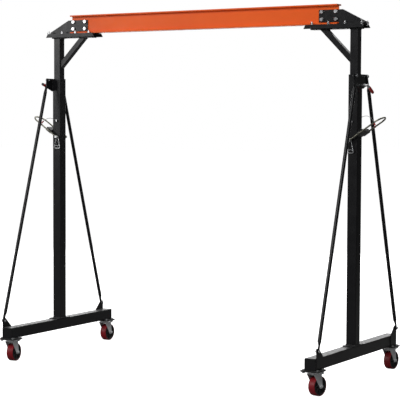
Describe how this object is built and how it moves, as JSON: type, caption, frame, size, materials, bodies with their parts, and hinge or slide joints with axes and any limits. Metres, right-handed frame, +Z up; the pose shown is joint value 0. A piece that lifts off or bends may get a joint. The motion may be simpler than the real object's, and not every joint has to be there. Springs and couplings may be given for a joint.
{
  "type": "portable gantry crane",
  "caption": "Portable gantry crane: an orange I-beam on telescoping black A-frame stands with pull pins, jacking levers and braked swivel casters.",
  "frame": {"origin": "on the floor, midway between the two columns and on the beam's middle plane", "axes": "+X along the beam towards the right stand, +Y along the base bars towards the rear, +Z up"},
  "size_m": [2.7988, 1.2981, 2.452],
  "materials": {
    "beam_orange": "satin orange powder coat",
    "frame_black": "satin black powder coat",
    "zinc_bolts": "bright zinc plate",
    "galvanised_steel": "bright zinc-plated pressed steel",
    "lever_zinc": "yellow zinc plate",
    "wire_rope": "galvanised wire",
    "core_black": "moulded black core",
    "tread_red": "red polyurethane tread",
    "grip_red": "dipped red vinyl",
    "block_black": "black moulding"
  },
  "bodies": {
    "upper_frame": {"i_beam": "beam_orange", "left_inner_tube": "frame_black", "right_inner_tube": "frame_black", "top_plates": "frame_black", "knee_braces": "frame_black", "cradle_channels": "frame_black", "gusset_plates": "frame_black", "web_bolts": "zinc_bolts", "cradle_bolts": "zinc_bolts"},
    "left_stand": {"left_outer_tube": "frame_black", "left_foot_plate": "frame_black", "left_base_bar": "frame_black", "left_end_caps": "frame_black", "left_brace_plates": "frame_black", "left_tie_rods": "frame_black", "left_rod_bolts": "zinc_bolts", "left_caster_pads": "frame_black", "left_caster_plates": "galvanised_steel", "left_caster_bolts": "zinc_bolts", "left_side_studs": "zinc_bolts", "left_keeper_wire": "wire_rope"},
    "left_front_caster": {"left_front_fork": "galvanised_steel"},
    "left_front_wheel": {"left_front_wheel_core": "core_black", "left_front_tread": "tread_red"},
    "left_front_brake": {"left_front_brake_pedal": "galvanised_steel"},
    "left_rear_caster": {"left_rear_fork": "galvanised_steel"},
    "left_rear_wheel": {"left_rear_wheel_core": "core_black", "left_rear_tread": "tread_red"},
    "left_rear_brake": {"left_rear_brake_pedal": "galvanised_steel"},
    "left_lever": {"left_jack_lever": "lever_zinc", "left_lever_block": "block_black"},
    "left_link": {"left_hanging_link": "zinc_bolts"},
    "left_pin": {"left_pull_pin": "zinc_bolts", "left_pin_grip": "grip_red"},
    "right_stand": {"right_outer_tube": "frame_black", "right_foot_plate": "frame_black", "right_base_bar": "frame_black", "right_end_caps": "frame_black", "right_brace_plates": "frame_black", "right_tie_rods": "frame_black", "right_rod_bolts": "zinc_bolts", "right_caster_pads": "frame_black", "right_caster_plates": "galvanised_steel", "right_caster_bolts": "zinc_bolts", "right_side_studs": "zinc_bolts", "right_keeper_wire": "wire_rope"},
    "right_front_caster": {"right_front_fork": "galvanised_steel"},
    "right_front_wheel": {"right_front_wheel_core": "core_black", "right_front_tread": "tread_red"},
    "right_front_brake": {"right_front_brake_pedal": "galvanised_steel"},
    "right_rear_caster": {"right_rear_fork": "galvanised_steel"},
    "right_rear_wheel": {"right_rear_wheel_core": "core_black", "right_rear_tread": "tread_red"},
    "right_rear_brake": {"right_rear_brake_pedal": "galvanised_steel"},
    "right_lever": {"right_jack_lever": "lever_zinc", "right_lever_block": "block_black"},
    "right_link": {"right_hanging_link": "zinc_bolts"},
    "right_pin": {"right_pull_pin": "zinc_bolts", "right_pin_grip": "grip_red"}
  },
  "joints": [
    {"name": "left_height", "type": "slide", "parent": "upper_frame", "child": "left_stand", "axis": [0, 0, -1], "range_m": [0, 1.2192]},
    {"name": "left_front_swivel", "type": "hinge", "parent": "left_stand", "child": "left_front_caster", "pos_m": [-1.188, -0.5675, 0.155], "axis": [0, 0, 1], "continuous": true},
    {"name": "left_front_roll", "type": "hinge", "parent": "left_front_caster", "child": "left_front_wheel", "pos_m": [-1.19385, -0.52591, 0.0625], "axis": [0.9903, 0.1392, 0], "continuous": true},
    {"name": "left_front_brake_press", "type": "hinge", "parent": "left_front_caster", "child": "left_front_brake", "pos_m": [-1.19273, -0.53383, 0.1325], "axis": [-0.9903, -0.1392, 0], "range_deg": [0, 12]},
    {"name": "left_rear_swivel", "type": "hinge", "parent": "left_stand", "child": "left_rear_caster", "pos_m": [-1.188, 0.5675, 0.155], "axis": [0, 0, 1], "continuous": true},
    {"name": "left_rear_roll", "type": "hinge", "parent": "left_rear_caster", "child": "left_rear_wheel", "pos_m": [-1.188, 0.6095, 0.0625], "axis": [1, 0, 0], "continuous": true},
    {"name": "left_rear_brake_press", "type": "hinge", "parent": "left_rear_caster", "child": "left_rear_brake", "pos_m": [-1.188, 0.6015, 0.1325], "axis": [-1, 0, 0], "range_deg": [0, 12]},
    {"name": "left_lever_swing", "type": "hinge", "parent": "left_stand", "child": "left_lever", "pos_m": [-1.175, 0, 1.576], "axis": [0, -1, 0], "range_deg": [0, 60], "deforming": ["left_keeper_wire"]},
    {"name": "left_link_swing", "type": "hinge", "parent": "left_stand", "child": "left_link", "pos_m": [-1.175, 0, 1.576], "axis": [0, 1, 0], "range_deg": [-25, 25]},
    {"name": "left_pin_slide", "type": "slide", "parent": "left_stand", "child": "left_pin", "axis": [1, 0, 0], "range_m": [0, 0.028]},
    {"name": "right_height", "type": "slide", "parent": "upper_frame", "child": "right_stand", "axis": [0, 0, -1], "range_m": [0, 1.2192]},
    {"name": "right_front_swivel", "type": "hinge", "parent": "right_stand", "child": "right_front_caster", "pos_m": [1.188, -0.5675, 0.155], "axis": [0, 0, 1], "continuous": true},
    {"name": "right_front_roll", "type": "hinge", "parent": "right_front_caster", "child": "right_front_wheel", "pos_m": [1.19673, -0.52642, 0.0625], "axis": [0.9781, -0.2079, 0], "continuous": true},
    {"name": "right_front_brake_press", "type": "hinge", "parent": "right_front_caster", "child": "right_front_brake", "pos_m": [1.19507, -0.53424, 0.1325], "axis": [-0.9781, 0.2079, 0], "range_deg": [0, 12]},
    {"name": "right_rear_swivel", "type": "hinge", "parent": "right_stand", "child": "right_rear_caster", "pos_m": [1.188, 0.5675, 0.155], "axis": [0, 0, 1], "continuous": true},
    {"name": "right_rear_roll", "type": "hinge", "parent": "right_rear_caster", "child": "right_rear_wheel", "pos_m": [1.19239, 0.60927, 0.0625], "axis": [0.9945, -0.1045, 0], "continuous": true},
    {"name": "right_rear_brake_press", "type": "hinge", "parent": "right_rear_caster", "child": "right_rear_brake", "pos_m": [1.19155, 0.60131, 0.1325], "axis": [-0.9945, 0.1045, 0], "range_deg": [0, 12]},
    {"name": "right_lever_swing", "type": "hinge", "parent": "right_stand", "child": "right_lever", "pos_m": [1.175, 0, 1.576], "axis": [0, 1, 0], "range_deg": [0, 60], "deforming": ["right_keeper_wire"]},
    {"name": "right_link_swing", "type": "hinge", "parent": "right_stand", "child": "right_link", "pos_m": [1.175, 0, 1.576], "axis": [0, 1, 0], "range_deg": [-25, 25]},
    {"name": "right_pin_slide", "type": "slide", "parent": "right_stand", "child": "right_pin", "axis": [-1, 0, 0], "range_m": [0, 0.028]}
  ],
  "couplings": [
    {"joint": "right_height", "follows": "left_height", "ratio": 1}
  ]
}
